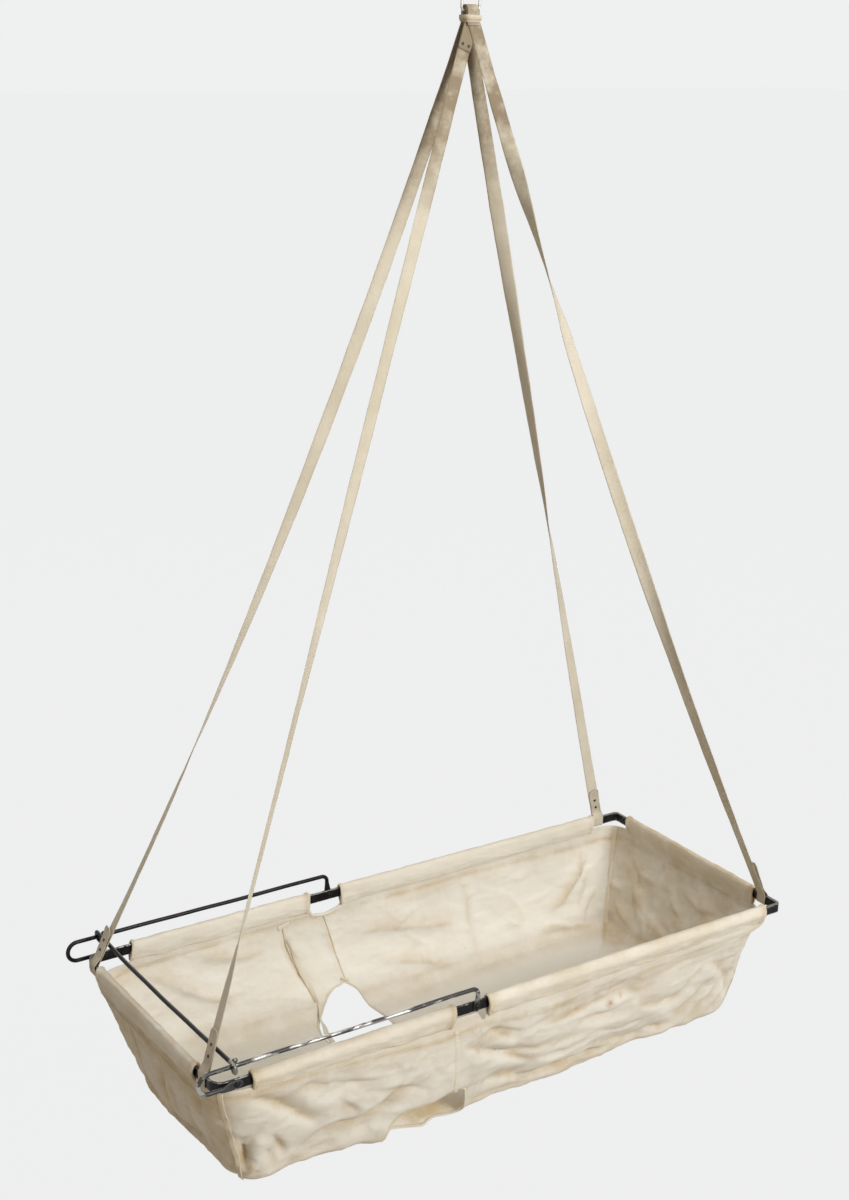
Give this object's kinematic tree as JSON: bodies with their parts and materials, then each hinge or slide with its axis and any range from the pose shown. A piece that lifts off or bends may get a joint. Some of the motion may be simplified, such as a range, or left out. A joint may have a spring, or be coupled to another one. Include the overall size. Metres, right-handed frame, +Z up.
{
  "type": "hanging baby cradle",
  "caption": "Canvas baby cradle on a bar frame, hung from a steel link by tape straps, with rod rails, a sliding cross bar and leg openings; it swings from the link",
  "frame": {"origin": "the point inside the top of the hanging link where a hook bears", "axes": "+Z is up, +X runs along the cradle's long side away from the rails, +Y goes from the near side to the far side"},
  "size_m": [0.839, 0.3552, 1.2935],
  "materials": {
    "canvas": "undyed cotton canvas, creased and lightly soiled",
    "hem_canvas": "folded and stitched cotton canvas, worn and stained",
    "strap_tape": "twilled cotton tape, aged",
    "lashing_tape": "thin cotton tape",
    "link_steel": "aged bright wire",
    "worn_rod_steel": "rod with its paint rubbed off and dark specks left",
    "dark_nails": "dark oxidised nail heads",
    "black_paint": "black paint, chipped along its edges"
  },
  "bodies": {
    "hanger": {"hanging_link": "link_steel"},
    "cradle": {"canvas_far_wall": "canvas", "canvas_floor": "canvas", "canvas_left_end": "canvas", "canvas_near_wall": "canvas", "canvas_right_end": "canvas", "frame_bar": "black_paint", "lashing_band": "lashing_tape", "rail_far": "black_paint", "rail_near": "worn_rod_steel", "rail_rivet_far_corner": "black_paint", "rail_rivet_far_pivot": "black_paint", "rail_rivet_near_corner": "black_paint", "rail_rivet_near_pivot": "black_paint", "sleeve_far_left": "hem_canvas", "sleeve_far_right": "hem_canvas", "sleeve_left_end": "hem_canvas", "sleeve_near_left": "hem_canvas", "sleeve_near_right": "hem_canvas", "sleeve_right_end": "hem_canvas", "slit_tab": "hem_canvas", "strap_far_left": "strap_tape", "strap_far_right": "strap_tape", "strap_nail_1": "dark_nails", "strap_nail_2": "dark_nails", "strap_near_left": "strap_tape", "strap_near_right": "strap_tape", "strap_stud_far_left_1": "dark_nails", "strap_stud_far_left_2": "dark_nails", "strap_stud_far_right_1": "dark_nails", "strap_stud_far_right_2": "dark_nails", "strap_stud_near_left_1": "dark_nails", "strap_stud_near_left_2": "dark_nails", "strap_stud_near_right_1": "dark_nails", "strap_stud_near_right_2": "dark_nails"},
    "cross_bar": {"cross_bar": "black_paint"}
  },
  "joints": [
    {"name": "swing", "type": "hinge", "parent": "hanger", "child": "cradle", "pos_m": [0, 0, -0.048], "axis": [1, 0, 0], "range_deg": [-25, 25]},
    {"name": "cross_bar_slide", "type": "slide", "parent": "cradle", "child": "cross_bar", "axis": [1, 0, 0], "range_m": [0, 0.29]}
  ]
}
